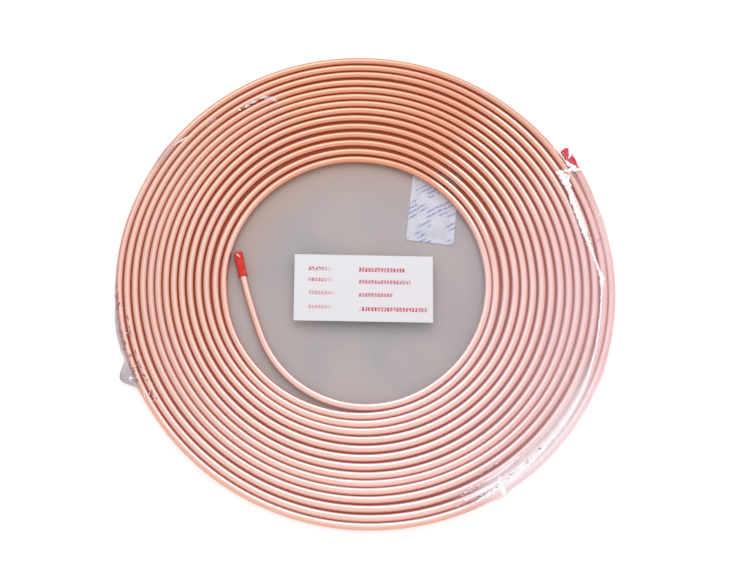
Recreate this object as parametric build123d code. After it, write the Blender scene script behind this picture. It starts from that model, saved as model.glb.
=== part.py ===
from build123d import *
from math import acos, atan2, cos, degrees, hypot, pi, radians, sin
import os

# Flat coil of soft copper tube, laid on its side and sealed in clear film.
# Millimetres. The coil lies on the XY plane with its axis along +Z, and every
# angle is in degrees, anticlockwise from +X as seen from above.

# Tube and winding. The gap between turns is its middle value: each turn lies
# turn_drift further to the right, so the gaps are wider there than on the left.
tube_diameter = 6.35
tube_wall = 0.71
turn_gap = 0.96
turn_drift = 0.53
turn_radius = 113.9
whole_turns = 14

# Inner end, which leaves the innermost turn, bends across the bore and straightens. Both
# bends are tighter than the innermost turn by a set amount, so they follow the bore.
inner_turn_tightening = 0.3
inner_turn_sweep = 70.7
tail_bend_tightening = 18.8
tail_bend_sweep = 89.8
tail_end_radius = 506.0
tail_tip_gap = 3.7

# Outer end, which closes up to the turn inside it and then springs a little away
outer_end_gap = 0.2
outer_end_slack = 20.0
outer_end_sweep = 31.7

# Push-on end caps
cap_wall = 0.8
cap_length = 22.0
cap_end_thickness = 1.2
cap_edge_round = 0.9
cap_clearance = 0.05

# Clear film, closed above and below and round the rim
film_thickness = 0.25
film_clearance = 0.15
film_rim_flat = 0.4

# Label card, just under the top film
label_width = 120.0
label_height = 60.0
label_thickness = 0.3
label_turn = -1.1
label_x = 5.1
label_y = -7.7

# Drying sachet, on the bottom film and tucked under the inner turns
sachet_width = 42.0
sachet_length = 68.0
sachet_turn = -7.0
sachet_inset = 16.0
sachet_bearing = 46.0
sachet_seam = 5.0
sachet_seam_thickness = 0.6
sachet_fill = 3.8
inner_gap = 0.1

# Levels and radii that follow from the sizes above
tube_radius = tube_diameter / 2
bore_radius = tube_radius - tube_wall
turn_pitch = tube_diameter + turn_gap
inner_turn_radius = turn_radius - inner_turn_tightening
tail_bend_radius = turn_radius - tail_bend_tightening
cap_bore_radius = tube_radius + cap_clearance
cap_radius = cap_bore_radius + cap_wall
middle_level = film_thickness + film_clearance + cap_radius
wrapped_height = 2 * middle_level
film_standoff = cap_radius + film_clearance
floor_level = film_thickness + inner_gap
ceiling_level = wrapped_height - film_thickness - inner_gap

# The winding is made of half turns, upper and lower in turn, whose centres lie
# on one line along X. Each runs from one crossing of that line to the next.


def crossing(index):
    """Where the tube crosses the line after that many half turns, measured from the winding's middle"""
    if index == 2 * whole_turns:
        return crossing(index - 2) + tube_diameter + outer_end_gap
    side = 1 if index % 2 == 0 else -1
    return side * (turn_radius + (turn_pitch + side * turn_drift) * index / 2)


def half_turn_radius(index):
    return abs(crossing(index + 1) - crossing(index)) / 2


# The winding's middle, placed so that the wrapped coil's box is centred on the origin
last_turn = 2 * whole_turns - 1
middle_x = -(crossing(last_turn + 1) + crossing(last_turn)) / 2
middle_y = (half_turn_radius(last_turn) - half_turn_radius(last_turn - 1)) / 2


def half_turn(index):
    """Centre and radius of a half turn: 0 is the innermost upper one, 1 the lower one that follows"""
    centre = (middle_x + (crossing(index) + crossing(index + 1)) / 2, middle_y)
    return centre, half_turn_radius(index)


def at(centre, radius, angle):
    """Point on a circle"""
    return (centre[0] + radius * cos(radians(angle)), centre[1] + radius * sin(radians(angle)))


def arc_inward(arc, radius, sweep):
    """The arc that runs on inwards from the start of another, as centre, radius, start and sweep"""
    centre, next_radius, start, next_sweep = arc
    return at(centre, next_radius - radius, start), radius, start - sweep, sweep


def inner_tail():
    """The three arcs of the inner end, innermost first"""
    first_centre, first_radius = half_turn(0)
    turn = arc_inward((first_centre, first_radius, 360, 180), inner_turn_radius, inner_turn_sweep)
    bend = arc_inward(turn, tail_bend_radius, tail_bend_sweep)

    # The tip stops where it comes within tail_tip_gap of the next turn
    end_centre, radius, start, sweep = arc_inward(bend, tail_end_radius, 0)
    reach = first_radius - tube_radius - tail_tip_gap - cap_radius
    dx, dy = end_centre[0] - first_centre[0], end_centre[1] - first_centre[1]
    apart = hypot(dx, dy)
    swing = acos((radius**2 + apart**2 - reach**2) / (2 * radius * apart))
    tip_angle = degrees(atan2(-dy, -dx) - swing) % 360
    return (end_centre, radius, tip_angle, start - tip_angle), bend, turn


def outer_end():
    """The last arc, as centre, radius, start and sweep"""
    centre, radius = half_turn(last_turn)
    return at(centre, -outer_end_slack, 0), radius + outer_end_slack, 0, outer_end_sweep


def winding():
    """Every arc of the tube's centreline, from the inner end to the outer end"""
    arcs = list(inner_tail())
    for index in range(last_turn + 1):
        centre, radius = half_turn(index)
        arcs.append((centre, radius, 180 * (index % 2), 180))
    arcs.append(outer_end())
    return arcs


def turned(section, arc):
    """A section carried round an arc of the winding"""
    centre, radius, start, sweep = arc
    body = revolve(Plane.XZ * Pos(radius, middle_level) * section, Axis.Z, sweep)
    return Pos(centre[0], centre[1], 0) * Rot(0, 0, start) * body


def tube_coil():
    section = Circle(tube_radius) - Circle(bore_radius)
    pieces = [turned(section, arc) for arc in winding()]
    return pieces[0].fuse(*pieces[1:])


def end_cap(arc, at_start):
    """A cap on the free end of an arc: its sleeve follows the tube, its end is closed and rounded"""
    centre, radius, start, sweep = arc
    per_mm = 180 / (pi * radius)
    closed = (cap_end_thickness + inner_gap) * per_mm
    length = cap_length * per_mm
    if at_start:
        outside = (centre, radius, start - closed, length)
        hollow = (centre, radius, start - inner_gap * per_mm, length)
    else:
        outside = (centre, radius, start + sweep + closed - length, length)
        hollow = (centre, radius, start + sweep + inner_gap * per_mm - length, length)
    body = turned(Circle(cap_radius), outside)
    tip = Vector(*at(centre, radius, outside[2] if at_start else outside[2] + length), middle_level)
    end_face = body.faces().filter_by(GeomType.PLANE).sort_by_distance(tip)[0]
    return fillet(end_face.edges(), cap_edge_round) - turned(Circle(cap_bore_radius), hollow)


def wrapped_outline(standoff):
    """Outline of the outermost turn from above, with the film stretched straight from its free end"""
    upper, upper_radius = half_turn(last_turn - 1)
    lower, lower_radius = half_turn(last_turn)
    end_centre, end_radius, start, sweep = outer_end()
    tip = at(end_centre, end_radius, sweep)
    dx, dy = tip[0] - upper[0], tip[1] - upper[1]
    touch = degrees(atan2(dy, dx) + acos(upper_radius / hypot(dx, dy)))
    edges = [
        CenterArc(end_centre, end_radius + standoff, start, sweep),
        CenterArc(tip, standoff, sweep, touch - sweep),
        Line(at(tip, standoff, touch), at(upper, upper_radius + standoff, touch)),
        CenterArc(upper, upper_radius + standoff, touch, 180 - touch),
        CenterArc(lower, lower_radius + standoff, 180, 180),
    ]
    return make_face(edges)


def wrapped_block(inset):
    """The wrapped coil as a full block with a rounded rim, drawn in on every side by inset"""
    height = wrapped_height - 2 * inset
    outline = wrapped_outline(film_standoff + film_thickness - inset)
    block = Pos(0, 0, inset) * extrude(outline, height)
    rims = block.edges().group_by(Axis.Z)[0] + block.edges().group_by(Axis.Z)[-1]
    return fillet(rims, (height - film_rim_flat) / 2)


def film_wrap():
    return wrapped_block(0) - wrapped_block(film_thickness)


def label_card():
    card = Box(label_width, label_height, label_thickness, align=(Align.CENTER, Align.CENTER, Align.MAX))
    return Pos(middle_x + label_x, middle_y + label_y, ceiling_level) * Rot(0, 0, label_turn) * card


def desiccant_sachet():
    """A flat seamed pouch, filled only inside the coil's bore and pressed flat under the turns"""
    x, y = at((middle_x, middle_y), turn_radius - sachet_inset, sachet_bearing)
    base = (Align.CENTER, Align.CENTER, Align.MIN)
    pouch = Box(sachet_width, sachet_length, sachet_seam_thickness, align=base)
    filling = Box(sachet_width - 2 * sachet_seam, sachet_length - 2 * sachet_seam, sachet_fill, align=base)
    filling = fillet(filling.edges().filter_by(Axis.Z), sachet_seam)
    filling = fillet(filling.edges().group_by(Axis.Z)[-1], sachet_fill - sachet_seam_thickness - inner_gap)
    place = Pos(x, y, floor_level) * Rot(0, 0, sachet_turn)
    centre, radius = half_turn(0)
    bore = Pos(centre[0], centre[1], 0) * Cylinder(radius - tube_diameter, 4 * sachet_fill)
    return place * pouch + (place * filling & bore)


end_arc = inner_tail()[0]
parts = {
    "tube_coil": tube_coil(),
    "end_cap_inner": end_cap(end_arc, at_start=True),
    "end_cap_outer": end_cap(outer_end(), at_start=False),
    "film_wrap": film_wrap(),
    "label_card": label_card(),
    "desiccant_sachet": desiccant_sachet(),
}

os.makedirs("parts", exist_ok=True)
for name, part in parts.items():
    export_step(part, f"parts/{name}.step")

length = sum(radians(sweep) * radius for centre, radius, start, sweep in winding())
print("tube length in metres:", round(length / 1000, 2))
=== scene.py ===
import bpy
import numpy as np
from math import acos, atan2, cos, degrees, hypot, pi, radians, sin, tau
from mathutils import Matrix, Vector


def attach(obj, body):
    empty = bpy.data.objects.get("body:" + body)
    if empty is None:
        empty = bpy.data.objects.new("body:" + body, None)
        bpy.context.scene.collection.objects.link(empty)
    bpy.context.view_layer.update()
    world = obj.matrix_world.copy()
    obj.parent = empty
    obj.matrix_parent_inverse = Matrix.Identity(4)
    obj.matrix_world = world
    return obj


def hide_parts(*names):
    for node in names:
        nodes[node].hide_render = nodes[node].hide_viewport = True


# Looks of a flat coil of soft copper tube sealed in clear film, lying on a pale floor.
# Sizes are in millimetres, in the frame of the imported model. Angles are in degrees,
# anticlockwise from +X as seen from above. Blender's metres come in only where a mesh,
# a material, a lamp or the camera is made.

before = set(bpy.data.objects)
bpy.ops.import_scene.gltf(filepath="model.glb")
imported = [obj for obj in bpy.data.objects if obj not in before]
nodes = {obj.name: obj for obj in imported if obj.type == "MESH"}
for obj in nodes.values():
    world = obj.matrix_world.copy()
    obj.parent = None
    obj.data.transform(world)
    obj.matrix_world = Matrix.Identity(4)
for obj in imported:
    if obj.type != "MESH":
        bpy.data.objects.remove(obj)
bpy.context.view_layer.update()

mm = 0.001

# ---- winding
tube_radius = 3.175
tube_bore_radius = 2.465
turn_pitch = 7.31
turn_drift = 0.53
turn_radius = 113.9
whole_turns = 14
inner_turn = (113.6, 70.7)
tail_bend = (95.1, 89.8)
tail_end_radius = 506.0
tail_tip_gap = 3.7
outer_end_spacing = 6.55
outer_end_slack = 20.0
outer_end_sweep = 31.7
cap_radius = 4.025
middle_level = 4.425
wrapped_height = 8.85

# How far the hand-wound turns stray outwards, by turn, at every thirty degrees
stray_step = 30
stray_turns = np.array([0.5, 3.0, 5.5, 8.0, 10.5, 12.0, 13.6])
stray = np.array([
    (-1.4, -1.1, -1.1, -2.1, -2.9, -2.5, -1.6, -0.2, 0.8, 0.8, 0.6, -0.6),
    (0.2, 0.0, -0.3, -0.4, -0.5, -0.5, -0.2, -0.1, -0.2, -0.3, -0.3, -0.2),
    (-0.3, 0.5, 1.1, 1.2, 1.2, 0.8, 0.6, 0.6, 0.5, 0.3, -0.1, -0.4),
    (0.2, 0.3, 0.2, 0.1, 0.3, 0.4, 0.55, 0.7, 0.6, 0.6, 0.4, 0.2),
    (-0.3, -0.1, -0.2, -0.6, -0.9, -0.5, -0.1, 0.0, -0.2, -0.5, -1.0, -0.8),
    (-0.7, -0.6, -0.7, -1.0, -1.1, -0.7, -0.1, 0.2, 0.1, 0.0, 0.0, -0.4),
    (-0.7, -0.9, -1.2, -1.6, -1.6, -1.2, -0.2, 0.1, 0.2, 0.5, 1.2, 0.4),
])
stray_start = 0.25

# Crevices that gape or close up: the turn inside each, where round the coil, how many
# degrees to either side, and by how much. The turns beside it share it out.
gapes = (
    (0, 90, 80, -0.3), (1, 140, 55, 0.4), (2, 50, 48, 0.4), (4, 245, 60, 0.4),
    (5, 255, 45, 0.2), (7, 85, 55, -0.3), (7, 290, 60, -0.3), (8, 95, 45, -0.2),
    (8, 235, 45, 0.2), (10, 78, 45, 0.6), (10, 205, 60, 0.2), (11, 75, 55, -0.4),
    (11, 270, 40, 0.2),
)
gape_turns = 3

# How far the outer end leans in towards the run inside it, where, and how far either side
outer_end_lean = (0.77, 18, 15)

# How far the turns rise and sink along the tube, and over what two lengths of it
turn_heave = 0.1
heave_lengths = (83, 191)


def crossing(index):
    """Where the tube crosses the line of centres after that many half turns"""
    if index == 2 * whole_turns:
        return crossing(index - 2) + outer_end_spacing
    side = 1 if index % 2 == 0 else -1
    return side * (turn_radius + (turn_pitch + side * turn_drift) * index / 2)


def half_turn_radius(index):
    return abs(crossing(index + 1) - crossing(index)) / 2


last_turn = 2 * whole_turns - 1
middle = (
    -(crossing(last_turn + 1) + crossing(last_turn)) / 2,
    (half_turn_radius(last_turn) - half_turn_radius(last_turn - 1)) / 2,
)


def half_turn(index):
    """Centre and radius of a half turn"""
    centre = (middle[0] + (crossing(index) + crossing(index + 1)) / 2, middle[1])
    return centre, half_turn_radius(index)


def at(centre, radius, angle):
    """Point on a circle"""
    return (centre[0] + radius * cos(radians(angle)), centre[1] + radius * sin(radians(angle)))


def polar(x, y):
    """Angle and distance of places from the winding's middle"""
    east, north = x - middle[0], y - middle[1]
    return np.degrees(np.arctan2(north, east)) % 360, np.hypot(east, north)


def arc_inward(arc, radius, sweep):
    """The arc that runs on inwards from the start of another, as centre, radius, start, sweep"""
    centre, next_radius, start, next_sweep = arc
    return at(centre, next_radius - radius, start), radius, start - sweep, sweep


def inner_tail():
    """The free inner end's arcs, innermost first"""
    first_centre, first_radius = half_turn(0)
    turn = arc_inward((first_centre, first_radius, 360, 180), *inner_turn)
    bend = arc_inward(turn, *tail_bend)
    end_centre, radius, start, sweep = arc_inward(bend, tail_end_radius, 0)
    reach = first_radius - tube_radius - tail_tip_gap - cap_radius
    dx, dy = end_centre[0] - first_centre[0], end_centre[1] - first_centre[1]
    apart = hypot(dx, dy)
    swing = acos((radius**2 + apart**2 - reach**2) / (2 * radius * apart))
    tip_angle = degrees(atan2(-dy, -dx) - swing) % 360
    return [(end_centre, radius, tip_angle, start - tip_angle), bend, turn]


def outer_end():
    centre, radius = half_turn(last_turn)
    return at(centre, -outer_end_slack, 0), radius + outer_end_slack, 0, outer_end_sweep


def points_along(arcs, step):
    """Points on arcs, with the arcs' outward directions and the turns counted along each"""
    rows = []
    for centre, radius, start, sweep, turn in arcs:
        count = max(2, round(radians(sweep) * radius / step))
        swept = sweep * np.arange(count + 1) / count
        angle = np.radians(start + swept)
        out = np.stack([np.cos(angle), np.sin(angle)], axis=1)
        rows.append(np.column_stack([np.array(centre) + radius * out, out, turn + swept / 360]))
    return np.concatenate([row[:-1] for row in rows] + [rows[-1][-1:]])


def length_along(points):
    """How far along a line each of its points lies"""
    return np.concatenate([[0], np.cumsum(np.linalg.norm(np.diff(points, axis=0), axis=1))])


def part_way(steps, far, values):
    """Rows of values at steps along a line, from the rows at its points"""
    return np.stack([np.interp(steps, far, column) for column in values.T], axis=-1)


def eased(value):
    """Runs smoothly from nothing to one while the value does"""
    value = np.clip(value, 0, 1)
    return value * value * (3 - 2 * value)


def bump(angle, centre, width):
    """One at an angle, falling to nothing at that many degrees either side"""
    apart = np.abs((angle - centre + 180) % 360 - 180)
    return eased(1 - apart / width)


def strayed(turns, angle):
    """How far outwards a turn lies from the even spiral"""
    place = np.clip(turns, stray_turns[0], stray_turns[-1])
    low = np.searchsorted(stray_turns, place, side="right") - 1
    low = np.clip(low, 0, len(stray_turns) - 2)
    across = eased((place - stray_turns[low]) / (stray_turns[low + 1] - stray_turns[low]))
    step = np.floor(angle / stray_step).astype(int)
    part = eased(angle / stray_step - step)
    first, second = step % stray.shape[1], (step + 1) % stray.shape[1]
    inner = stray[low, first] * (1 - part) + stray[low, second] * part
    outer = stray[low + 1, first] * (1 - part) + stray[low + 1, second] * part
    shift = inner * (1 - across) + outer * across
    for inside, centre, spread, extra in gapes:
        beyond = np.round(turns - angle / 360) - inside - 0.5
        share = eased(1 - (np.abs(beyond) - 0.5) / gape_turns) * bump(angle, centre, spread)
        shift = shift + extra / 2 * np.sign(beyond) * share
    return shift * eased(turns / stray_start)


def wound_line(step):
    """The tube's centreline as wound by hand, the lengths along it and the turns counted"""
    arcs = [arc + (-1.0,) for arc in inner_tail()]
    for index in range(last_turn + 1):
        centre, radius = half_turn(index)
        arcs.append((centre, radius, 180 * (index % 2), 180, index / 2))
    arcs.append(outer_end() + (float(whole_turns),))
    rows = points_along(arcs, step)
    angle = polar(rows[:, 0], rows[:, 1])[0]
    turns = rows[:, 4]
    shift = np.where(turns < 0, 0, strayed(np.maximum(turns, 0), angle))
    lean, centre, spread = outer_end_lean
    near = eased(1 - np.abs(angle - centre) / spread)
    shift -= lean * np.where(turns > whole_turns, near, 0)
    level = np.full(len(rows), middle_level)
    points = np.column_stack([rows[:, :2] + shift[:, None] * rows[:, 2:4], level])
    along = length_along(points)
    first, second = heave_lengths
    points[:, 2] += turn_heave * np.sin(along / first) * np.sin(along / second)
    return points, along, turns


# ---- meshes
def new_piece(name, points, faces, slot, *replaced):
    """A smooth-shaded mesh piece, riding on the coil"""
    mesh = bpy.data.meshes.new(name)
    mesh.from_pydata((np.asarray(points) * mm).tolist(), [], faces)
    mesh.validate()
    mesh.update()
    mesh.shade_smooth()
    piece = bpy.data.objects.new(name, mesh)
    bpy.context.scene.collection.objects.link(piece)
    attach(piece, "root")
    if replaced:
        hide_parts(*replaced)
    return piece


def give(piece, name, values):
    """Stores a number, or three, at each point of a piece"""
    values = np.asarray(values, dtype=np.float32)
    kind = "FLOAT" if values.ndim == 1 else "FLOAT_VECTOR"
    stored = piece.data.attributes.new(name, kind, "POINT")
    stored.data.foreach_set("value" if values.ndim == 1 else "vector", values.ravel())


def ring_faces(first, second, count):
    """Faces between two rings of points, from the places where their points start"""
    return [
        (first + k, first + (k + 1) % count, second + (k + 1) % count, second + k)
        for k in range(count)
    ]


def across_line(points):
    """Sideways and upward directions square to a line that lies nearly flat"""
    ahead = np.gradient(points, axis=0)
    ahead /= np.linalg.norm(ahead, axis=1)[:, None]
    side = np.cross(ahead, np.array([0.0, 0.0, 1.0]))
    side /= np.linalg.norm(side, axis=1)[:, None]
    return side, np.cross(side, ahead)


def all_round(side, top, turn):
    """Directions square to a line, at angles all round it"""
    sideways = side[..., None, :] * np.cos(turn)[:, None]
    return sideways + top[..., None, :] * np.sin(turn)[:, None]


# ---- tube
tube_step = 6.1
tube_sides = 24
bore_sides = 8


def cut_end(outer, inner, turned):
    """The tube's wall at a cut end, between its outer and its inner ring"""
    faces = []
    for k in range(tube_sides):
        share = bore_sides * k // tube_sides
        following = bore_sides * (k + 1) // tube_sides
        face = [outer + k, outer + (k + 1) % tube_sides, inner + following % bore_sides]
        if following != share:
            face.append(inner + share)
        faces.append(tuple(reversed(face)) if turned else tuple(face))
    return faces


def tube_mesh(points):
    """A hollow tube round a line, open at both ends, as points, faces and each point's angle"""
    side, top = across_line(points)
    corners, faces, angles = [], [], []
    for radius, count in ((tube_radius, tube_sides), (tube_bore_radius, bore_sides)):
        turn = np.arange(count) * tau / count
        around = radius * all_round(side, top, turn)
        corners.append((points[:, None] + around).reshape(-1, 3))
        angles.append(np.tile(turn, len(points)))
    start = len(corners[0])
    for row in range(len(points) - 1):
        outer, inner = row * tube_sides, start + row * bore_sides
        faces += ring_faces(outer + tube_sides, outer, tube_sides)
        faces += ring_faces(inner, inner + bore_sides, bore_sides)
    faces += cut_end(0, start, False)
    last = len(points) - 1
    faces += cut_end(last * tube_sides, start + last * bore_sides, True)
    return np.concatenate(corners), faces, np.concatenate(angles)


line, along, turns = wound_line(tube_step)
corners, faces, angles = tube_mesh(line)
tube = new_piece("copper_tube", corners, faces, "copper", "tube_coil")
lengths = np.concatenate([np.repeat(along, tube_sides), np.repeat(along, bore_sides)])
give(tube, "lay", np.column_stack([lengths * mm, np.cos(angles), np.sin(angles)]))

# ---- end caps
cap_mouth_radius = 3.225
cap_sleeve = 21.9
cap_end = 1.3
cap_steps = 24
cap_sides = 40


def cap_profile(full):
    """How far along a cap, and its radius there, from inside its lip to its rounded end"""
    return (
        (0.5, cap_mouth_radius), (0.0, cap_mouth_radius + 0.15), (0.0, cap_radius - 0.25),
        (0.15, cap_radius - 0.06), (0.5, cap_radius), (1.9, cap_radius - 0.02),
        (2.3, cap_radius - 0.18), (6.0, cap_radius - 0.16), (11.0, cap_radius - 0.13),
        (15.0, cap_radius - 0.11), (18.5, cap_radius - 0.06), (full - 1.6, cap_radius - 0.02),
        (full - 1.05, cap_radius - 0.08), (full - 0.6, cap_radius - 0.3),
        (full - 0.25, cap_radius - 0.66), (full - 0.05, cap_radius - 1.2),
        (full, cap_radius - 1.9), (full - 0.1, cap_radius - 2.9),
    )


def end_cap(name, points, node):
    """A cap pushed over the start of a line of tube points, whose first point is the tube's end"""
    ahead = points[0] - points[1]
    ahead /= np.linalg.norm(ahead)
    steps = np.linspace(cap_sleeve, 0, cap_steps)
    sleeve = part_way(steps, length_along(points), points)
    spine = np.vstack([sleeve, points[0] + ahead * cap_end])
    side, top = across_line(spine)
    far = length_along(spine)
    profile = cap_profile(far[-1])
    turn = np.arange(cap_sides) * tau / cap_sides
    corners, faces = [], []
    for step, radius in profile:
        centre, sideways, upward = (part_way(step, far, rows) for rows in (spine, side, top))
        corners.append(centre + radius * all_round(sideways, upward, turn))
    for row in range(len(profile) - 1):
        faces += ring_faces((row + 1) * cap_sides, row * cap_sides, cap_sides)
    faces.append(tuple(range((len(profile) - 1) * cap_sides, len(profile) * cap_sides)))
    return new_piece(name, np.concatenate(corners), faces, "red_plastic", node)


inner_cap = end_cap("inner_end_cap", line, "end_cap_inner")
outer_cap = end_cap("outer_end_cap", line[::-1], "end_cap_outer")

# ---- film
film_columns = 600
film_off_tube = 3.45
film_shoulder = 0.05
rim_level = 4.1
rim_half_height = 3.72
rim_mm_per_degree = 3.6
bottom_level = 0.3

# Level of the top film over the turns and at the middle, how much it rises over the
# bore, and from what radius inwards over how many millimetres
film_over_turns = 7.86
film_at_middle = 8.6
bore_rise = 0.74
bore_rise_start = 116
bore_rise_width = 14

# Level of the film round the outer cap, and how much and how far round it bulges there
film_over_cap = 7.9
cap_bulge = 0.72
cap_bulge_width = 9.5

# Small wrinkles, each kind with its height, size and seed. They are fainter in the bore.
film_crinkles = ((0.055, 9, 11), (0.035, 4, 12))
rim_pleats = ((0.25, 14, 3), (0.12, 5, 4))
turns_start = 112
bore_crinkle_share = 0.25

# The film's rings: how far out on top, how far down the rim, and how far out underneath
top_rings = np.concatenate([np.linspace(0.0, 1.0, 20)[1:] ** 0.9 * 96, np.arange(99, 224, 2.4)])
rim_rings = np.linspace(0.12, 0.88, 7)
bottom_rings = (0.9, 0.75, 0.6, 0.5, 0.46, 0.4, 0.25, 0.1)
bottom_edge = 0.6

# Places where the film stands off the rim as a gathered fold: angle, half width, length
rim_folds = (
    (202.2, 3.4, 8.0), (204.4, 3.0, 6.5), (193.2, 8.5, 2.6), (186.0, 9.0, 0.6),
    (197.5, 3.0, 0.8), (301.8, 3.4, 2.2), (14.0, 5.0, 1.0), (24.0, 4.0, 1.0),
    (29.5, 4.0, 1.6), (338.0, 3.5, 0.8), (145.0, 5.0, 0.7),
)


def taut_outline(bearings):
    """How far the outermost tube lies from the middle, with the film taut past its free end"""
    outer = line[turns > whole_turns - 1.02][:, :2] - np.array(middle)
    sweep = np.radians(np.arange(0, 360, 0.25))
    support = (outer @ np.stack([np.cos(sweep), np.sin(sweep)])).max(axis=0)
    reach = []
    for angle in np.radians(bearings):
        facing = np.cos(sweep - angle)
        ahead = facing > 0.5
        reach.append(np.min(support[ahead] / facing[ahead]))
    return np.array(reach)


def wrinkles(x, y, size, seed):
    """Smooth random heights between -1 and 1 over the plane, with folds of about that size"""
    rng = np.random.default_rng(seed)
    table = rng.uniform(-1, 1, (64, 64))
    u, v = x / size + 100.37, y / size + 100.71
    iu, iv = np.floor(u).astype(int), np.floor(v).astype(int)
    fu, fv = eased(u - iu), eased(v - iv)
    a, b = table[iu % 64, iv % 64], table[(iu + 1) % 64, iv % 64]
    c, d = table[iu % 64, (iv + 1) % 64], table[(iu + 1) % 64, (iv + 1) % 64]
    return (a * (1 - fu) + b * fu) * (1 - fv) + (c * (1 - fu) + d * fu) * fv


def wrinkled(x, y, kinds):
    """Wrinkles of several kinds together, each with its height, size and seed"""
    return sum(height * wrinkles(x, y, size, seed) for height, size, seed in kinds)


def nearness(x, y, points, width):
    """One over any of the points, falling to nothing at a width from them all"""
    apart = np.hypot(x[:, None] - points[None, :, 0], y[:, None] - points[None, :, 1])
    return eased(1 - np.min(apart, axis=1) / width)


def film_height(x, y):
    """Level of the top film: flat over the turns, higher over the bore and the outer cap"""
    away = np.hypot(x - middle[0], y - middle[1])
    level = film_over_turns + bore_rise * eased((bore_rise_start - away) / bore_rise_width)
    crinkle = wrinkled(x, y, film_crinkles)
    level = level + np.where(away > turns_start, crinkle, crinkle * bore_crinkle_share)
    over_cap = nearness(x, y, line[::-1][:5], cap_bulge_width)
    return np.maximum(level, film_over_cap + cap_bulge * over_cap)


def film_rings():
    """The film's rings of points, from its top out over the rim and in again underneath"""
    columns = np.arange(film_columns) * 360 / film_columns
    cosine, sine = np.cos(np.radians(columns)), np.sin(np.radians(columns))
    outline = taut_outline(columns)
    pleats = wrinkled(columns * rim_mm_per_degree, columns * 0, rim_pleats)
    ears = sum(length * bump(columns, angle, width) for angle, width, length in rim_folds)

    def placed(reach):
        return middle[0] + reach * cosine, middle[1] + reach * sine

    rings = []
    for radius in top_rings:
        x, y = placed(np.minimum(radius, outline + film_shoulder))
        rings.append(np.column_stack([x, y, film_height(x, y)]))
    for share in rim_rings:
        turn = pi * (0.5 - share)
        stand = film_off_tube + (pleats + ears * sin(pi * share) ** 2) * cos(turn)
        x, y = placed(outline + stand * cos(turn))
        ripple = 0.3 * ears / 6 * np.sin(columns * 0.9)
        rings.append(np.column_stack([x, y, rim_level + rim_half_height * sin(turn) + ripple]))
    for reach in [outline + bottom_edge] + [outline * share for share in bottom_rings]:
        x, y = placed(reach)
        rings.append(np.column_stack([x, y, np.full(film_columns, bottom_level)]))
    return rings


def film_mesh():
    """The film all round the coil, as points and faces"""
    rings = film_rings()
    top, bottom = (np.array([[*middle, level]]) for level in (film_at_middle, bottom_level))
    corners = [top, *rings, bottom]
    faces = [(0, 1 + k, 1 + (k + 1) % film_columns) for k in range(film_columns)]
    for row in range(len(rings) - 1):
        first = 1 + row * film_columns
        faces += ring_faces(first + film_columns, first, film_columns)
    last = 1 + len(rings) * film_columns
    ring = last - film_columns
    faces += [(last, ring + (k + 1) % film_columns, ring + k) for k in range(film_columns)]
    return np.concatenate(corners), faces


film_points, faces = film_mesh()
film = new_piece("clear_film_wrap", film_points, faces, "clear_film", "film_wrap")

# Hazy film, partly painted glare and reflection: how much, where round the coil, how many
# degrees either side, and from what radius on it comes in over how many millimetres,
# which is at every radius from -1
haze_everywhere = 0.02
haze_in_bore = 0.3
haze_and_glare_patches = (
    (0.03, 225, 60, -1, 1), (0.07, 150, 45, 160, 15), (0.12, 338, 64, -1, 1),
    (0.15, 338, 64, 145, 50), (0.4, 318, 30, 203, 6), (0.26, 303, 15, 200, 5),
    (0.25, 14, 22, 213, 6),
)
# Film that hangs loose off the rim and looks grey, in the same way
loose_patches = (
    (0.85, 191, 24, 205.5, 4.0), (1.0, 203.3, 8, 208.0, 2.5), (0.5, 145, 9, 201, 3),
    (0.14, 20, 12, 219, 4), (0.25, 30, 5, 222, 3),
)


def patched(angle, away, patches):
    """How strong each of the patches is at places round the coil"""
    return [
        amount * bump(angle, centre, spread) * eased((away - start) / over)
        for amount, centre, spread, start, over in patches
    ]


film_angle, film_away = polar(film_points[:, 0], film_points[:, 1])
underneath = film_points[:, 2] < 1.0
haze_and_glare = haze_everywhere + sum(patched(film_angle, film_away, haze_and_glare_patches))
# A band of hazy film and painted glare along the turns at the lower left
haze_and_glare += 0.09 * bump(film_angle, 205, 60) * eased(1 - np.abs(film_away - 176) / 22)
haze_and_glare *= np.where(film_away < turns_start, haze_in_bore, 1.0)
loose = np.max(patched(film_angle, film_away, loose_patches), axis=0)
give(film, "haze_and_glare", np.where(underneath, 0, haze_and_glare))
give(film, "loose", np.where(underneath, 0, loose))
give(film, "below", underneath.astype(float))


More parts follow.
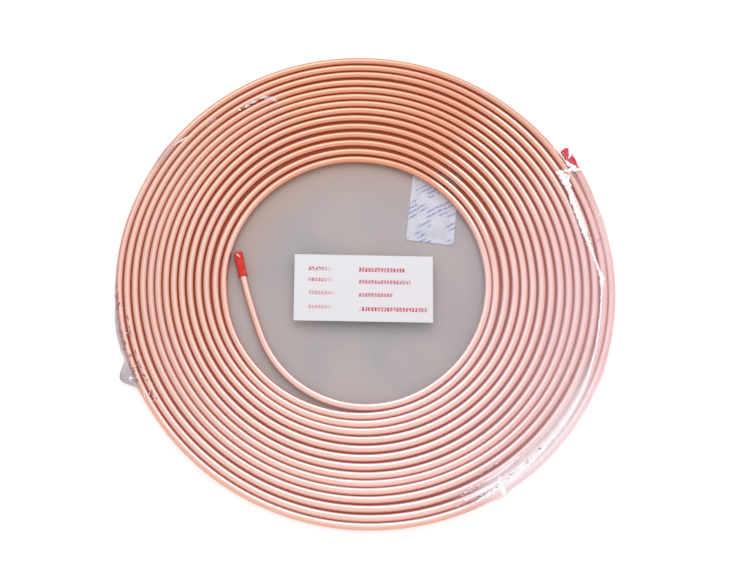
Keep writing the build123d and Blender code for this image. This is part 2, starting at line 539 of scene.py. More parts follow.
# ---- folds in the film
class Folds:
    """Raised creases in the film, gathered into one mesh"""

    # Places across a crease, the step and the tapering ends along it, and its levels
    section = np.linspace(-1, 1, 7)
    step = 0.8
    taper = 1.2
    off_film = 0.04
    highest = wrapped_height - 0.05

    def __init__(self):
        self.points, self.faces, self.milk, self.crease_shade = [], [], [], []
        self.count = 0

    def add(self, stops, strength, ragged=0.3, lift=0.25, drop=0.0, seed=1, crease_shade=0.0):
        """A white crease, partly painted glare, along stops of an angle, a radius and half a
        width, or a dark one of painted shade
        """
        stops = np.array(stops, dtype=float)
        turn = np.radians(stops[:, :1])
        path = np.array(middle) + stops[:, 1:2] * np.hstack([np.cos(turn), np.sin(turn)])
        far = length_along(path)
        steps = np.linspace(0, far[-1], max(3, round(far[-1] / self.step)))
        spine = part_way(steps, far, path)
        width = np.interp(steps, far, stops[:, 2])
        width = width * np.clip(np.minimum(steps, far[-1] - steps) / self.taper + 0.15, 0, 1)
        ahead = np.gradient(spine, axis=0)
        ahead /= np.linalg.norm(ahead, axis=1)[:, None]
        side = np.column_stack([ahead[:, 1], -ahead[:, 0]])
        rng = np.random.default_rng(seed)
        jag = 1 + ragged * rng.uniform(-1, 1, (2, len(steps)))
        shift = ragged * 0.5 * width * np.sin(steps * 0.9 + seed)
        for k, q in enumerate(self.section):
            edge = np.where(q < 0, jag[0], jag[1])
            place = spine + side * (q * width * edge + shift)[:, None]
            rise = lift * (1 - q * q) * (1 + 0.5 * np.sin(steps * 1.7 + 3 * k + seed))
            level = film_height(place[:, 0], place[:, 1]) + self.off_film + rise - drop
            self.points.append(np.column_stack([place, np.minimum(level, self.highest)]))
            self.milk.append(strength * (1 - np.abs(q) ** 3) * np.ones(len(steps)))
            self.crease_shade.append(np.full(len(steps), crease_shade))
        rows, across = len(steps), len(self.section)
        for k in range(across - 1):
            for row in range(rows - 1):
                first = self.count + k * rows + row
                self.faces.append((first, first + rows, first + rows + 1, first + 1))
        self.count += rows * across

    def scatter(self, start, end, spread, number, strength, size, seed, heading=0.0, crease_shade=0.0):
        """Small creases strewn between two places, headed along the turns (0) or across (90)"""
        rng = np.random.default_rng(seed)
        for k in range(number):
            share = rng.uniform()
            angle = start[0] + (end[0] - start[0]) * share
            radius = start[1] + (end[1] - start[1]) * share + spread * rng.uniform(-1, 1)
            long = size * rng.uniform(0.7, 1.6)
            lean = radians(heading + 35 * rng.uniform(-1, 1))
            turn, rise = degrees(long * cos(lean) / radius), long * sin(lean)
            wide = size * rng.uniform(0.22, 0.42)
            stops = [(angle + turn * part, radius + rise * part, wide) for part in (-1, 0, 1)]
            self.add(
                stops, strength * rng.uniform(0.7, 1.0), 0.4, 0.2 + 0.25 * crease_shade,
                seed=seed * 100 + k, crease_shade=crease_shade,
            )

    def piece(self, name):
        made = new_piece(name, np.concatenate(self.points), self.faces, "clear_film")
        give(made, "milk", np.concatenate(self.milk))
        give(made, "crease_shade", np.concatenate(self.crease_shade))
        return made


# The creases' white is partly painted glare, and the dark ones are painted shade
folds = Folds()
# The long bright crease on the right, from the outer cap round to the lower right
folds.add((
    (29.6, 203.5, 1.0), (28.7, 207.5, 3.8), (27.3, 208.6, 5.4), (25.6, 207.0, 4.0),
    (23.8, 206.4, 2.6), (21.6, 205.4, 3.5), (18.9, 205.0, 3.8), (15.6, 204.8, 3.7),
    (12.7, 205.0, 3.1), (9.7, 206.0, 2.2), (6.4, 207.8, 1.5), (3.4, 210.2, 1.5),
    (0.8, 212.4, 2.2), (-2.4, 212.6, 1.2), (-7.5, 212.4, 1.1), (-12.3, 212.5, 1.2),
), 1.0, 0.22, seed=1)
folds.add((
    (-11.5, 212.4, 1.1), (-16.7, 213.4, 1.0), (-23.0, 214.4, 1.4), (-28.0, 215.4, 1.8),
    (-33.0, 215.5, 1.9), (-39.0, 215.3, 2.0), (-45.0, 215.4, 2.2), (-50.0, 216.3, 2.6),
    (-54.0, 217.3, 3.0), (-56.0, 217.6, 2.2),
), 0.92, 0.12, seed=2)
folds.add(((-30.0, 217.4, 0.8), (-40.0, 218.0, 1.2), (-50.0, 217.8, 1.4)), 0.5, seed=31)
folds.add(((-1.5, 214.0, 0.9), (0.5, 214.6, 1.1), (2.0, 213.0, 0.8)), 0.9, 0.4, seed=32)
# The gathered place at the lower right
folds.add((
    (-56.0, 208.5, 0.8), (-56.6, 212.0, 2.0), (-57.0, 218.0, 3.6), (-57.6, 225.5, 2.2),
), 1.0, 0.2, seed=3)
folds.add((
    (-48.0, 212.0, 1.2), (-52.0, 214.0, 2.6), (-56.0, 216.0, 3.4), (-60.0, 217.0, 2.2),
    (-64.0, 217.6, 1.0),
), 0.85, 0.15, seed=4)
folds.add((
    (-55.5, 211.5, 1.2), (-58.5, 212.4, 1.8), (-62.0, 212.4, 1.3), (-66.0, 212.0, 0.9),
), 0.85, 0.15, seed=5)
folds.add((
    (-49.5, 205.6, 0.8), (-53.5, 206.6, 1.5), (-57.0, 206.8, 1.3), (-60.0, 206.0, 0.8),
), 0.75, 0.2, seed=41)
folds.scatter((-66, 205.6), (-51, 205.2), 1.6, 18, 1.0, 1.5, 6, 30)
folds.scatter((-68, 213.0), (-58, 212.6), 1.8, 8, 1.0, 1.3, 7, 20)
folds.scatter((-61, 198.4), (-52, 198.6), 0.6, 8, 1.0, 1.2, 33, 10)
folds.scatter((-66, 215.5), (-44, 213.0), 1.4, 16, 1.0, 1.1, 39, 5, 0.9)
# Milky film over the outer cap, which leaves two parts of it bright
folds.add((
    (33.8, 228.2, 0.8), (32.4, 226.4, 2.0), (31.4, 223.6, 1.7), (30.9, 220.2, 0.9),
), 0.95, 0.2, seed=8)
folds.add((
    (31.2, 216.8, 0.8), (29.8, 218.2, 1.8), (28.8, 220.2, 2.0), (28.0, 221.8, 1.8),
), 0.95, seed=9)
folds.add((
    (28.9, 210.5, 1.4), (28.6, 214.0, 2.2), (28.2, 218.0, 2.4), (27.6, 222.0, 2.2),
    (27.2, 225.6, 1.2),
), 0.95, 0.4, seed=10)
folds.add((
    (31.2, 228.2, 0.8), (29.9, 227.0, 1.5), (28.6, 225.8, 2.2), (27.4, 225.0, 1.4),
), 0.85, seed=11)
folds.add((
    (35.2, 215.0, 0.8), (34.2, 217.0, 1.2), (32.6, 217.2, 1.1), (31.0, 216.8, 0.8),
), 0.6, 0.4, seed=42)
folds.add((
    (31.3, 221.8, 0.4), (31.0, 222.6, 0.8), (30.7, 223.4, 0.4),
), 1.0, 0.2, 0.6, seed=44, crease_shade=1.0)
folds.scatter((33, 216), (27, 216), 4.0, 12, 0.7, 1.2, 12, 60)
folds.scatter((31, 211), (26, 213), 4.0, 12, 0.8, 1.0, 34, 30, 0.7)
# Specks and small creases beside the long one
folds.scatter((25, 222.5), (3, 222.5), 2.2, 30, 0.6, 1.5, 13, 80)
folds.scatter((23, 205.5), (9, 205.0), 2.6, 12, 0.95, 1.5, 14, 85)
folds.scatter((25, 207.4), (9, 207.6), 1.2, 20, 1.0, 0.7, 35, 30, 1.0)
folds.scatter((24, 208.5), (6, 208.5), 0.9, 12, 1.0, 0.8, 47, 60)
folds.scatter((10.6, 219.5), (9.4, 212.5), 1.0, 6, 0.8, 0.9, 40, 80, 0.6)
# The loose edge and the gathered tuft at the left
folds.add(((200.6, 209.5, 0.9), (202.0, 213.0, 1.2), (203.0, 216.0, 0.8)), 0.4, 0.4, 0.6, 2.2, 16)
folds.add(((206.0, 209.5, 0.8), (204.8, 212.5, 1.4), (203.8, 214.5, 1.0)), 0.45, 0.4, 0.7, 1.8, 17)
folds.scatter((184, 205.5), (212, 206.0), 2.4, 26, 0.6, 1.7, 18, 50)
folds.scatter((193, 198.0), (212, 198.5), 1.2, 14, 0.6, 1.6, 19, 70)
folds.scatter((180, 207.5), (206, 208.0), 1.4, 34, 0.9, 1.7, 36, 10, 0.9)
folds.scatter((188, 200.5), (212, 201.0), 1.0, 24, 0.9, 1.5, 37, 10, 0.9)
folds.scatter((196, 205.0), (207, 209.0), 1.6, 12, 0.9, 1.4, 43, 20, 0.9)
folds.add(((204.6, 209.6, 0.6), (204.3, 211.4, 1.5), (203.9, 213.0, 0.8)), 0.9, 0.3, 0.4, 1.0, 45)
folds.scatter((201.5, 211.0), (203.5, 216.0), 1.6, 10, 0.5, 1.1, 46, 60)
# Streaks at the upper left
folds.add(((142.2, 204.0, 0.6), (139.8, 201.6, 0.9), (137.2, 198.6, 0.8)), 0.85, 0.4, seed=20)
folds.scatter((133.5, 197.0), (129.5, 195.5), 2.0, 14, 0.5, 1.7, 21, 80)
folds.add(((123.2, 191.4, 0.7), (122.9, 190.0, 1.1), (122.7, 188.6, 0.7)), 1.0, seed=22)
folds.add(((122.3, 191.2, 0.7), (122.0, 189.8, 1.0), (121.7, 188.4, 0.6)), 1.0, seed=38, crease_shade=1.0)
folds.scatter((121.2, 189.8), (118.0, 190.6), 1.0, 16, 0.8, 1.6, 23, 10)
folds.add((
    (117.0, 191.6, 1.2), (115.6, 190.6, 2.4), (114.6, 188.0, 3.0), (113.4, 185.2, 2.6),
    (112.6, 182.0, 1.2),
), 0.5, 0.2, seed=24)
folds.add(((148.0, 206.0, 1.2), (145.0, 205.6, 1.8), (142.4, 205.0, 1.2)), 0.3, seed=25)
# Glints by the inner cap and here and there over the turns
folds.add(((168.6, 103.8, 0.6), (167.9, 105.6, 0.9), (167.0, 107.2, 0.6)), 0.9, 0.4, 0.2, 0.3, 26)
folds.scatter((270, 150), (360, 190), 30.0, 16, 0.35, 1.0, 27)
folds.scatter((0, 160), (60, 190), 30.0, 10, 0.35, 1.0, 28)
creases = folds.piece("film_creases")

# ---- sachet
sachet_width = 42.0
sachet_length = 68.0
sachet_turn = -7.0
sachet_at = at(middle, 97.9, 46)
sachet_sides = (61, 97)
sachet_seam = 4.5
sachet_swell_width = 9
sachet_fullness = 2.75
sachet_beads = ((0.22, 3.1, 21), (0.12, 1.7, 22))

# Levels of its underside and of the base of its top face, how thick it is where it is
# pressed flat and at the least, and how far inside the innermost turn it starts to swell
sachet_bottom = 0.37
sachet_base = 0.38
sachet_pressed = 0.42
sachet_thinnest = 0.22
sachet_off_turn = 6.5


def sachet_pillow():
    """A pouch with crimped seams, full of beads in the bore and pressed flat under the turns"""
    across, down = sachet_sides
    gu, gv = np.meshgrid(
        np.linspace(-0.5, 0.5, across) * sachet_width, np.linspace(-0.5, 0.5, down) * sachet_length
    )
    gu, gv = gu.ravel(), gv.ravel()
    turn = radians(sachet_turn)
    x = sachet_at[0] + gu * cos(turn) - gv * sin(turn)
    y = sachet_at[1] + gu * sin(turn) + gv * cos(turn)
    centre, radius = half_turn(0)
    off_turn = radius - sachet_off_turn - np.hypot(x - centre[0], y - centre[1])
    inside = eased(off_turn / sachet_swell_width)
    edge = np.minimum(sachet_width / 2 - np.abs(gu), sachet_length / 2 - np.abs(gv))
    full = eased((edge - sachet_seam) / sachet_swell_width) ** 0.7
    puckers = 0.16 * np.sin(gu * 0.9 + 2 * wrinkles(gu, gv, 12, 24))
    puckers = puckers * eased((edge - 3) / 3) * (1 - full)
    swell = (sachet_fullness + wrinkled(gu, gv, sachet_beads)) * full + puckers
    height = sachet_pressed + inside * swell + 0.1 * full + 0.05 * wrinkles(gu, gv, 6, 23)
    top = np.column_stack([x, y, sachet_base + np.maximum(height, sachet_thinnest)])
    bottom = np.column_stack([x, y, np.full(len(x), sachet_bottom)])
    faces = []
    for row in range(down - 1):
        for column in range(across - 1):
            k = row * across + column
            face = (k, k + 1, k + 1 + across, k + across)
            faces.append(face)
            faces.append(tuple(j + len(x) for j in reversed(face)))
    rim = list(range(across)) + [across * (row + 1) - 1 for row in range(1, down)]
    rim += [across * (down - 1) + column for column in range(across - 2, -1, -1)]
    rim += [across * row for row in range(down - 2, 0, -1)]
    for a, b in zip(rim, rim[1:] + rim[:1]):
        faces.append((b, a, a + len(x), b + len(x)))
    places = np.column_stack([gu, gv, edge])
    return np.concatenate([top, bottom]), faces, np.concatenate([places, places])


corners, faces, paper_places = sachet_pillow()
sachet = new_piece("drying_sachet", corners, faces, "sachet_paper", "desiccant_sachet")
give(sachet, "paper", paper_places)


# ---- materials
class Signal:
    """A number or colour that varies over a surface. Arithmetic on numbers adds Math nodes."""

    def __init__(self, finish, socket):
        self.finish = finish
        self.socket = socket

    def math(self, operation, *values):
        return self.finish.node(
            "ShaderNodeMath", {"operation": operation}, dict(enumerate(values))
        )

    def __add__(self, other):
        return self.math("ADD", self, other)

    def __radd__(self, other):
        return self.math("ADD", other, self)

    def __sub__(self, other):
        return self.math("SUBTRACT", self, other)

    def __rsub__(self, other):
        return self.math("SUBTRACT", other, self)

    def __mul__(self, other):
        return self.math("MULTIPLY", self, other)

    def __rmul__(self, other):
        return self.math("MULTIPLY", other, self)

    def __truediv__(self, other):
        return self.math("DIVIDE", self, other)

    def __pow__(self, other):
        return self.math("POWER", self, other)

    def __gt__(self, other):
        return self.math("GREATER_THAN", self, other)

    def __abs__(self):
        return self.math("ABSOLUTE", self)

    def sine(self):
        return self.math("SINE", self)

    def ramp(self, low, high, start=0.0, end=1.0):
        """Runs smoothly from start to end while this runs from low to high"""
        return self.finish.node(
            "ShaderNodeMapRange", {"interpolation_type": "SMOOTHSTEP"},
            {"Value": self, "From Min": low, "From Max": high, "To Min": start, "To Max": end},
        )


class Finish:
    """The nodes of a material or of the world, with one method that adds any of them"""

    def __init__(self, owner):
        owner.use_nodes = True
        self.owner = owner
        self.tree = owner.node_tree
        self.tree.nodes.clear()

    def node(self, kind, settings=None, inputs=None, output=0):
        made = self.tree.nodes.new(kind)
        for name, value in (settings or {}).items():
            setattr(made, name, value)
        for name, value in (inputs or {}).items():
            socket = made.inputs[name]
            if isinstance(value, Signal):
                self.tree.links.new(value.socket, socket)
            else:
                socket.default_value = value
        return Signal(self, made.outputs[output]) if made.outputs else None

    def place(self):
        return self.node("ShaderNodeTexCoord", output="Object")

    def stored(self, name, output="Fac"):
        return self.node("ShaderNodeAttribute", {"attribute_name": name}, output=output)

    def parts(self, vector):
        return [self.node("ShaderNodeSeparateXYZ", None, {0: vector}, k) for k in range(3)]

    def plane(self, x, y):
        return self.node("ShaderNodeCombineXYZ", None, {"X": x, "Y": y})

    def offset(self, centre):
        """How far east and north of a centre a place lies, in metres"""
        x, y, z = self.parts(self.place())
        return x - centre[0] * mm, y - centre[1] * mm

    def away(self, centre):
        """How far from a centre a place lies, in metres"""
        east, north = self.offset(centre)
        return (east * east + north * north) ** 0.5

    def bearing(self, direction):
        """From 1 on the side of the coil that lies in that direction to -1 opposite"""
        east, north = self.offset(middle)
        ahead = east * cos(radians(direction)) + north * sin(radians(direction))
        return ahead / (east * east + north * north) ** 0.5

    def scaled(self, vector, *factors):
        return self.node(
            "ShaderNodeVectorMath", {"operation": "MULTIPLY"}, {0: vector, 1: factors}
        )

    def noise(self, vector, scale, detail=2.0, roughness=0.5):
        return self.node(
            "ShaderNodeTexNoise", None,
            {"Vector": vector, "Scale": scale, "Detail": detail, "Roughness": roughness},
        )

    def blend(self, share, first, second):
        """Colour between two, by a share from 0 to 1"""
        return self.node(
            "ShaderNodeMix", {"data_type": "RGBA"},
            {0: share, 6: tinted(first), 7: tinted(second)}, 2,
        )

    def bump(self, height, distance, strength=1.0):
        return self.node(
            "ShaderNodeBump", None,
            {"Height": height, "Distance": distance, "Strength": strength},
        )

    def surface(self, **sockets):
        named = {name.replace("_", " "): tinted(value) for name, value in sockets.items()}
        shader = self.node("ShaderNodeBsdfPrincipled", None, named)
        self.node("ShaderNodeOutputMaterial", None, {"Surface": shader})
        return self.owner

    def looked_at(self):
        """1 where the camera looks, straight, in a reflection or through something clear"""
        ways = [self.node("ShaderNodeLightPath", output=way) for way in (
            "Is Camera Ray", "Is Glossy Ray", "Is Transmission Ray",
        )]
        return (ways[0] + ways[1] + ways[2]) > 0.5


def tinted(value):
    """A colour of three numbers as Blender's four"""
    return (*value, 1.0) if isinstance(value, tuple) and len(value) == 3 else value


# Painted highlights along the turns: the direction of their middle, where they fade
# in, which side of the tube they run on, half their width, softness, strength, colour
copper_gleams = (
    (125, 0.5, 1.0, 0.02, 0.4, 0.9, 0.5, (0.96, 0.66, 0.54)),
    (200, 0.3, 1.0, -0.08, 0.4, 0.9, 0.5, (0.98, 0.76, 0.70)),
    (322, 0.5, 1.0, -0.42, 0.5, 0.8, 0.6, (1.0, 0.86, 0.88)),
    (262, 0.3, 0.85, -0.4, 0.24, 0.8, 0.6, (0.98, 0.88, 0.92)),
)


def drawn_copper():
    """Bright drawn copper with painted reflections, shade and highlights: a deep orange towards
    the top and pale and pink at the lower right
    """
    finish = Finish(bpy.data.materials.new("drawn_copper"))
    bearing = finish.bearing
    lay = finish.stored("lay", "Vector")
    run, out, up = finish.parts(lay)
    streaks = finish.noise(finish.scaled(lay, 6.0, 9.0, 9.0), 1.0, 3.0)
    cloud = finish.noise(finish.scaled(lay, 26.0, 1.6, 1.6), 1.0, 2.0)
    fine = finish.noise(finish.scaled(lay, 40.0, 40.0, 40.0), 1.0, 2.0)
    # Sides of the coil for painted reflection and shade: deep towards the top, pale and rosy at
    # the lower right
    deep = bearing(86).ramp(0.25, 1.0)
    pale = bearing(310).ramp(-0.4, 1.0)
    rosy = bearing(345).ramp(0.6, 1.0) * finish.away((0, 0)).ramp(0.13, 0.19)
    outermost = run.ramp(13.3, 13.4)

    # Painted reflection and shade: deep orange towards the top, pale and pink at the lower right
    colour = finish.blend(pale, (0.82, 0.50, 0.42), (0.97, 0.71, 0.66))
    colour = finish.blend(rosy * 0.7, colour, (0.98, 0.70, 0.72))
    colour = finish.blend(deep, colour, (0.80, 0.37, 0.24))
    colour = finish.blend(cloud.ramp(0.35, 0.75) * 0.3, colour, (0.80, 0.42, 0.32))

    # Painted shade on the tube's sides, darker where they face the turns beside them, and painted
    # light on the outer sides at the lower right
    sheltered = (1.0 - pale) * 0.25
    inner_flank = (0.0 - out).ramp(0.6, 1.0) * (sheltered - deep * 0.15)
    dark = inner_flank + out.ramp(0.5, 1.0) * sheltered
    colour = finish.blend(dark, colour, (0.62, 0.22, 0.17))
    # Painted light: the outer sides lighter and pinker at the lower right
    colour = finish.blend(out.ramp(0.1, 0.5) * pale * 0.7, colour, (1.0, 0.60, 0.52))
    # Painted shade on the inner sides at the lower right
    inner_dark = pale * (0.0 - out).ramp(0.6, 0.95)
    colour = finish.blend(inner_dark * 0.4, colour, (0.62, 0.34, 0.33))
    # Painted shade on the outer sides towards the top
    colour = finish.blend(deep * out.ramp(0.1, 0.85) * 0.7, colour, (0.46, 0.18, 0.08))

    # Painted shade on the outer side of the outermost turn: orange below, crimson at the left
    lower_edge_shade = bearing(250).ramp(0.3, 0.8) * outermost * out.ramp(0.1, 0.6)
    colour = finish.blend(lower_edge_shade * 0.6, colour, (0.86, 0.42, 0.28))
    left_edge_shade = bearing(182).ramp(0.88, 0.98) * outermost * out.ramp(0.2, 0.8)
    colour = finish.blend(left_edge_shade * 0.6, colour, (0.42, 0.08, 0.09))

    # Painted highlights along the turns, on the sides that face upwards
    facing = up.ramp(-0.1, 0.3)
    for direction, low, high, side, half, soft, strength, shine in copper_gleams:
        stripe = (1.0 - abs(out - side) / half).ramp(0.0, soft)
        gleam = bearing(direction).ramp(low, high) * stripe * facing
        colour = finish.blend(gleam * strength, colour, shine)
    # Painted shade: the outermost turn darker at the upper right, with no highlight there
    outermost_shade = bearing(50).ramp(0.95, 0.985) * outermost
    colour = finish.blend(outermost_shade * 0.5, colour, (0.62, 0.38, 0.30))
    # Painted highlight along the turns at the upper right, left off the outermost turn
    upper_right = bearing(36).ramp(0.93, 0.99) * (1.0 - outermost)
    upper_line = upper_right * (1.0 - abs(out - 0.3) / 0.4).ramp(0.0, 0.8) * facing
    colour = finish.blend(upper_line * 0.9, colour, (1.0, 0.93, 0.85))

    flank = pale * abs(out).ramp(0.5, 1.0)
    return finish.surface(
        Base_Color=colour, Metallic=1.0 - pale * 0.2 - flank * 0.25,
        Roughness=0.2 + streaks * 0.14 + deep * 0.1 + flank * 0.25,
        Normal=finish.bump(streaks * 0.6 + fine * 0.4, 0.00006),
    )


def red_plastic(name, dark, light):
    """Soft moulded plastic with a slightly waxy face"""
    finish = Finish(bpy.data.materials.new(name))
    place = finish.place()
    grain = finish.noise(place, 900.0, 3.0)
    cloud = finish.noise(place, 160.0, 2.0)
    return finish.surface(
        Base_Color=finish.blend(cloud.ramp(0.3, 0.7), dark, light),
        Roughness=grain * 0.15 + 0.32, Specular_IOR_Level=0.35,
        Normal=finish.bump(grain, 0.00005),
    )


def clear_film():
    """Clear film, hazy here and there over the turns with painted glare and reflection, and grey
    under the bore, partly painted shade
    """
    finish = Finish(bpy.data.materials.new("clear_shrink_film"))
    place = finish.place()
    away = finish.away(middle)
    haze_and_glare = finish.stored("haze_and_glare")
    loose = finish.stored("loose")
    below = finish.stored("below")
    broad = finish.noise(place, 14.0, 3.0, 0.5)
    coarse = finish.noise(place, 60.0, 3.0, 0.55)
    fine = finish.noise(place, 420.0, 3.0, 0.6)
    cover = haze_and_glare * (0.75 + coarse * 0.5) + loose * (0.35 + fine * 0.5)
    bore = (1.0 - away.ramp(0.1150, 0.1175)) * 0.9

    # Painted reflection in the hazy film: peach to pink towards the lower right, white where it is
    # thickest
    pinkish = finish.bearing(335).ramp(0.0, 0.7)
    veil = finish.blend(pinkish, (0.96, 0.68, 0.60), (0.98, 0.74, 0.78))
    veil = finish.blend(haze_and_glare.ramp(0.3, 0.5), veil, (1.0, 0.93, 0.95))
    veil = finish.blend(loose.ramp(0.0, 0.5), veil, (0.62, 0.52, 0.58))
    # Under the bore the film is grey: hazy film and painted shade
    grey = finish.blend(broad.ramp(0.35, 0.65), (0.585, 0.515, 0.50), (0.50, 0.465, 0.485))
    # Painted reflection of the copper, warm near the inner edge towards the top
    warm_reflection = finish.bearing(115).ramp(0.1, 0.9) * away.ramp(0.06, 0.11)
    grey = finish.blend(warm_reflection * 0.8, grey, (0.57, 0.43, 0.37))
    # Painted light: the hazy film glows a little
    glow = finish.blend(haze_and_glare.ramp(0.2, 0.5), (0.0, 0.0, 0.0), (0.15, 0.13, 0.14))
    return finish.surface(
        Base_Color=finish.blend(below, veil, grey), Roughness=0.2,
        Alpha=cover * (1.0 - below) + bore * below,
        Emission_Color=glow, Emission_Strength=1.0,
        Normal=finish.bump(coarse * 0.7 + fine * 0.3, 0.0004, 0.6),
    )


def creased_film():
    """Film gone white where it is gathered and stretched, partly painted glare, with painted shade
    in its dark creases
    """
    finish = Finish(bpy.data.materials.new("creased_milky_film"))
    place = finish.place()
    milk = finish.stored("milk")
    crease_shade = finish.stored("crease_shade")
    coarse = finish.noise(place, 260.0, 3.0, 0.6)
    fine = finish.noise(place, 900.0, 2.0, 0.5)
    broken = (milk * 1.3 + coarse * 0.9 + fine * 0.6 - 0.95).ramp(0.0, 0.6)
    white = finish.blend(coarse.ramp(0.35, 0.65), (1.0, 0.985, 1.0), (0.95, 0.92, 0.95))
    return finish.surface(
        Base_Color=finish.blend(crease_shade, white, (0.34, 0.09, 0.09)), Roughness=0.3,
        Alpha=broken * milk.ramp(0.0, 0.85) * 0.97,
        # Painted light: the white creases glow a little
        Emission_Color=finish.blend(crease_shade, (0.12, 0.12, 0.12), (0.0, 0.0, 0.0)),
        Emission_Strength=1.0, Normal=finish.bump(coarse * 0.6 + fine * 0.4, 0.0003, 0.7),
    )


label_turn = -1.1
label_at = (middle[0] + 5.1, middle[1] - 7.7)
label_face = (8.2, 8.4)
# Rows of print: left end, right end, height of the row's middle, half the bar's height,
# over how far its right end fades out, strength
label_rows = (
    (-48.2, -24.5, 17.2, 1.8, 14.0, 0.95), (-48.2, -23.0, 7.2, 1.7, 14.0, 0.85),
    (-48.2, -20.5, -4.7, 1.7, 14.0, 0.75), (-48.2, -21.5, -17.5, 1.7, 14.0, 0.6),
    (-4.3, 35.3, 16.8, 2.0, 0.4, 1.0), (-4.3, 40.5, 5.8, 1.8, 0.4, 0.9),
    (-4.3, 25.0, -6.1, 1.8, 0.4, 0.9), (-4.3, 55.1, -18.9, 1.9, 0.4, 1.0),
)


def printed_card():
    """White card with rows of plain broken bars in red, the left ones fading out"""
    finish = Finish(bpy.data.materials.new("printed_label_card"))
    x, y, z = finish.parts(finish.place())
    east, north = finish.offset(label_at)
    turn = radians(label_turn)
    across = (east * cos(turn) + north * sin(turn)) * 1000.0
    down = (north * cos(turn) - east * sin(turn)) * 1000.0
    plane = finish.plane(across, down)
    strokes = finish.noise(finish.scaled(plane, 0.85, 0.34, 1.0), 1.0, 2.0, 0.7)
    gaps = finish.noise(finish.scaled(plane, 0.16, 0.12, 1.0), 1.0, 1.0)
    ink = 0.0
    for left, right, level, half, fade, strength in label_rows:
        row = (half - abs(down - level)).ramp(-0.25, 0.35) * (across - left).ramp(-0.3, 0.4)
        ink = row * (right - across).ramp(-0.3, fade) * strength + ink
    bars = (across * (tau / 2.7) + strokes * 5.0).sine().ramp(-0.9, 0.1, 0.25, 1.0)
    broken = strokes.ramp(0.38, 0.52, 0.35, 1.0) * gaps.ramp(0.30, 0.36, 0.1, 1.0)
    on_face = z.ramp(label_face[0] * mm, label_face[1] * mm)
    fibre = finish.noise(finish.place(), 700.0, 3.0)
    paper = finish.blend(fibre.ramp(0.3, 0.7), (0.90, 0.89, 0.92), (0.87, 0.865, 0.90))
    return finish.surface(
        Base_Color=finish.blend(ink * bars * broken * on_face, paper, (0.60, 0.035, 0.085)),
        Roughness=0.42, Normal=finish.bump(fibre, 0.00003),
    )


def sachet_paper():
    """Soft white paper with slanting clusters of faint blue dashes"""
    finish = Finish(bpy.data.materials.new("printed_sachet_paper"))
    across, down, edge = finish.parts(finish.stored("paper", "Vector"))
    slant = radians(36)
    run = across * cos(slant) + down * sin(slant)
    rise = down * cos(slant) - across * sin(slant)
    plane = finish.plane(run, rise)
    strokes = finish.noise(finish.scaled(plane, 0.8, 0.4, 1.0), 1.0, 2.0, 0.7)
    clusters = finish.noise(finish.scaled(plane, 0.052, 0.085, 1.0), 1.0, 1.0)
    rows = (rise * (tau / 3.9)).sine().ramp(-0.35, 0.3)
    ink = rows * strokes.ramp(0.38, 0.52) * clusters.ramp(0.46, 0.54)
    fibre = finish.noise(finish.place(), 420.0, 4.0, 0.6)
    speckle = finish.noise(finish.place(), 1500.0, 2.0)
    white = finish.blend(fibre.ramp(0.3, 0.7), (0.76, 0.77, 0.85), (0.68, 0.69, 0.79))
    return finish.surface(
        Base_Color=finish.blend(ink * 0.75, white, (0.20, 0.24, 0.50)), Roughness=0.75,
        Normal=finish.bump(fibre * 0.7 + speckle * 0.3, 0.0002),
    )


def wear(piece, material):
    piece.data.materials.clear()
    piece.data.materials.append(material)


wear(tube, drawn_copper())
wear(inner_cap, red_plastic("inner_cap_plastic", (0.66, 0.018, 0.012), (0.80, 0.045, 0.03)))
wear(outer_cap, red_plastic("outer_cap_plastic", (0.70, 0.012, 0.03), (0.86, 0.04, 0.07)))
wear(film, clear_film())
wear(creases, creased_film())
wear(sachet, sachet_paper())
for place in nodes["label_card"].material_slots:
    place.material = printed_card()

# ---- floor, light and camera
# Half the floor's side, in metres
floor_reach = 6.0


def pale_floor():
    """A floor that the camera sees as white, with the coil's shadow, and painted shade under the
    turns, dark brown and glowing a little to the camera
    """
    mesh = bpy.data.meshes.new("pale_floor")
    signs = ((-1, -1), (1, -1), (1, 1), (-1, 1))
    corners = [(floor_reach * x, floor_reach * y, 0) for x, y in signs]
    mesh.from_pydata(corners, [], [(0, 1, 2, 3)])
    floor = bpy.data.objects.new("pale_floor", mesh)
    bpy.context.scene.collection.objects.link(floor)
    finish = Finish(bpy.data.materials.new("pale_floor"))
    away, from_origin = finish.away(middle), finish.away((0, 0))
    # Painted shade under the turns: dark brown, with a brown glow that the camera sees, pinker
    # towards the lower right
    under_turns = away.ramp(0.112, 0.116) * (1.0 - from_origin.ramp(0.2110, 0.2150))
    outside = from_origin.ramp(0.205, 0.215)
    glow = finish.blend(outside, (0.0, 0.0, 0.0), (0.45, 0.45, 0.45))
    rosy = finish.bearing(330).ramp(0.3, 1.0)
    crevice = finish.blend(rosy, (0.19, 0.04, 0.016), (0.17, 0.04, 0.033))
    glow = finish.blend(under_turns, glow, crevice)
    floor.data.materials.append(finish.surface(
        Base_Color=finish.blend(under_turns, (0.80, 0.80, 0.80), (0.30, 0.08, 0.045)),
        Roughness=0.9, Emission_Strength=1.0,
        Emission_Color=finish.blend(finish.looked_at(), (0.0, 0.0, 0.0), glow),
    ))


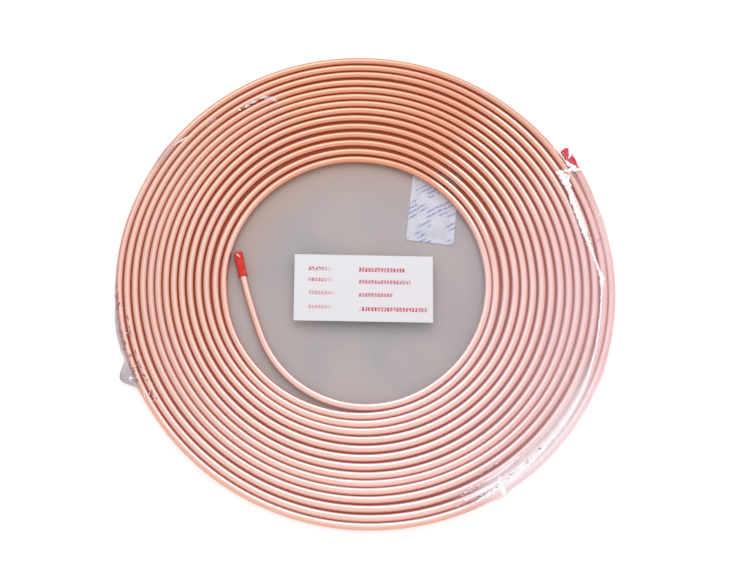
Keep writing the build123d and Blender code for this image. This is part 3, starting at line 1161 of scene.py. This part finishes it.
def white_surroundings():
    """White where the camera sees it, and a little dimmer as a light"""
    world = bpy.data.worlds.new("white_surroundings")
    bpy.context.scene.world = world
    finish = Finish(world)
    strength = finish.looked_at() * 0.22 + 0.78
    light = finish.node(
        "ShaderNodeBackground", None, {"Color": (1.0, 1.0, 1.0, 1.0), "Strength": strength}
    )
    finish.node("ShaderNodeOutputWorld", None, {"Surface": light})


def softbox(name, azimuth, elevation, distance, width, height, radiance, colour):
    """A soft lamp that looks at the coil from a side. Distances are in metres."""
    lamp = bpy.data.lights.new(name, "AREA")
    lamp.shape = "RECTANGLE"
    lamp.size, lamp.size_y = width, height
    lamp.energy = radiance * width * height * pi
    lamp.color = colour
    holder = bpy.data.objects.new(name, lamp)
    flat = cos(radians(elevation))
    away = Vector((
        flat * cos(radians(azimuth)), flat * sin(radians(azimuth)), sin(radians(elevation)),
    ))
    holder.location = away * distance
    holder.rotation_euler = away.to_track_quat("Z", "Y").to_euler()
    bpy.context.scene.collection.objects.link(holder)


# The direction from the coil back to the camera, the point that it looks at, and how far
# off it stands in metres
camera_back = (-0.0493, -0.3118, 0.9489)
camera_aim = (middle[0] + 15.19, middle[1] - 0.27, middle_level)
camera_distance = 1.53954
camera_lens = 85.19


def photo_camera():
    """Looks down on the coil from the photograph's place"""
    back = Vector(camera_back).normalized()
    right = (Vector((1, 0, 0)) - back.x * back).normalized()
    data = bpy.data.cameras.new("photo_camera")
    data.sensor_width = 36.0
    data.sensor_fit = "HORIZONTAL"
    data.lens = camera_lens
    data.clip_end = 50.0
    camera = bpy.data.objects.new("photo_camera", data)
    turn = Matrix((right, back.cross(right), back)).transposed().to_4x4()
    place = Vector(camera_aim) * mm + back * camera_distance
    camera.matrix_world = Matrix.Translation(place) @ turn
    bpy.context.scene.collection.objects.link(camera)
    bpy.context.scene.camera = camera


pale_floor()
white_surroundings()
softbox(
    "window_light", azimuth=88, elevation=45, distance=1.5, width=1.3, height=0.85,
    radiance=1.4, colour=(1.0, 0.93, 1.0),
)
photo_camera()
bpy.context.scene.view_settings.view_transform = "Standard"
